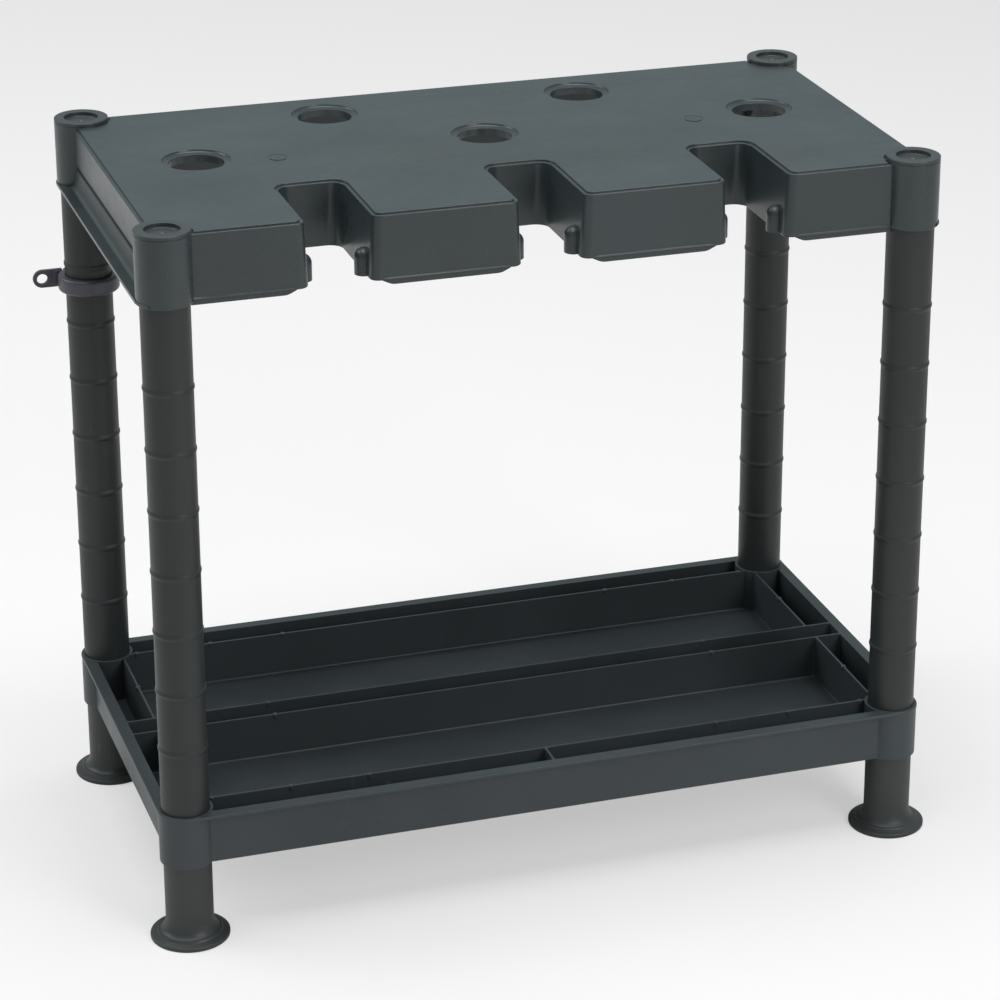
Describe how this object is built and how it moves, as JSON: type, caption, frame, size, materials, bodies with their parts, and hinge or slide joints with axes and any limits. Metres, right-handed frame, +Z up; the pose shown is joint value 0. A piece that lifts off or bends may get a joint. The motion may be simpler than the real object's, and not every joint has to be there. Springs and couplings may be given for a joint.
{
  "type": "freestanding garden tool rack",
  "caption": "Freestanding plastic garden tool rack with a slotted and drilled top panel over a ribbed tray, on push-fit tube legs with flared feet, end caps and a wall clip.",
  "frame": {"origin": "on the floor under the middle of the whole length and depth, which is 5.5 mm to the left of the middle of the four legs, because the wall clip's tab reaches past the left feet", "axes": "+X along the rack to the right as seen from the slotted front, +Y from the slotted front to the back, +Z up"},
  "size_m": [0.63, 0.339, 0.55],
  "materials": {
    "panel_plastic": "slate grey moulded plastic, fine satin texture",
    "tray_plastic": "slate grey moulded plastic, satin",
    "tube_plastic": "slate grey moulded plastic, satin",
    "foot_plastic": "slate grey moulded plastic, satin",
    "cap_plastic": "slate grey moulded plastic, satin",
    "clip_plastic": "dark grey moulded plastic, slightly glossier"
  },
  "bodies": {
    "rack": {"top_panel": "panel_plastic", "tray": "tray_plastic", "leg_front_left": "tube_plastic", "leg_front_right": "tube_plastic", "leg_back_left": "tube_plastic", "leg_back_right": "tube_plastic", "foot_front_left": "foot_plastic", "foot_front_right": "foot_plastic", "foot_back_left": "foot_plastic", "foot_back_right": "foot_plastic", "cap_front_left": "cap_plastic", "cap_front_right": "cap_plastic", "cap_back_left": "cap_plastic", "cap_back_right": "cap_plastic"},
    "wall_clip": {"wall_clip": "clip_plastic"}
  },
  "joints": [
    {"name": "wall_clip_swivel", "type": "hinge", "parent": "rack", "child": "wall_clip", "pos_m": [-0.2745, 0.14, 0.4195], "axis": [0, 0, 1], "continuous": true}
  ]
}
